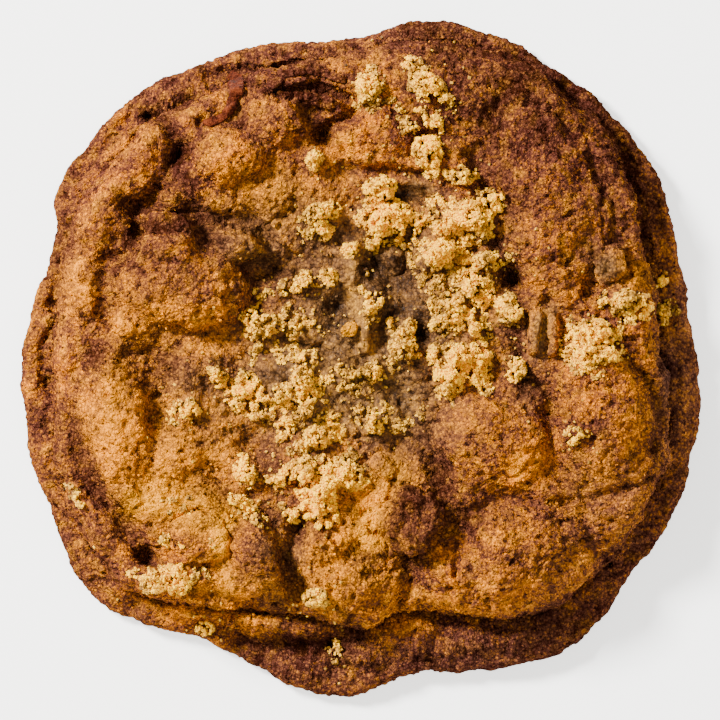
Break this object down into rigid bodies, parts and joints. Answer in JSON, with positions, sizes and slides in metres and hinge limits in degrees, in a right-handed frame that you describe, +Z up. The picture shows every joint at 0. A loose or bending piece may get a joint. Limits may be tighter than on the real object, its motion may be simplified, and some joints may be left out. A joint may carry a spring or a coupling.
{
  "type": "apple cookie",
  "caption": "Round soft drop cookie with baked apple pieces and brown sugar on top, on a flat base.",
  "frame": {"origin": "centre of the footprint on the flat underside, level with what the cookie rests on", "axes": "+Z up out of the cookie's top, +Y to the top of the cookie as seen from above, +X to its right"},
  "size_m": [0.0908, 0.0906, 0.0177],
  "materials": {
    "baked_dough": "golden-brown baked dough, matt and crumbly, with grains of brown sugar",
    "baked_apple": "soft baked fruit flesh, moist and slightly glossy",
    "apple_peel": "baked fruit skin and dried slices, brown-red, slightly glossy"
  },
  "bodies": {
    "root": {"cookie": "baked_dough", "apple_chunk_south": "baked_apple", "apple_chunk_southwest": "baked_apple", "apple_chunk_centre": "baked_apple", "apple_chunk_hollow": "baked_apple", "apple_chunk_west": "baked_apple", "apple_chunk_east": "baked_apple", "apple_slab_east": "baked_apple", "apple_slab_outer": "baked_apple", "apple_peel_northwest": "apple_peel", "apple_curl_north": "apple_peel", "apple_slice_north": "apple_peel"}
  },
  "joints": []
}
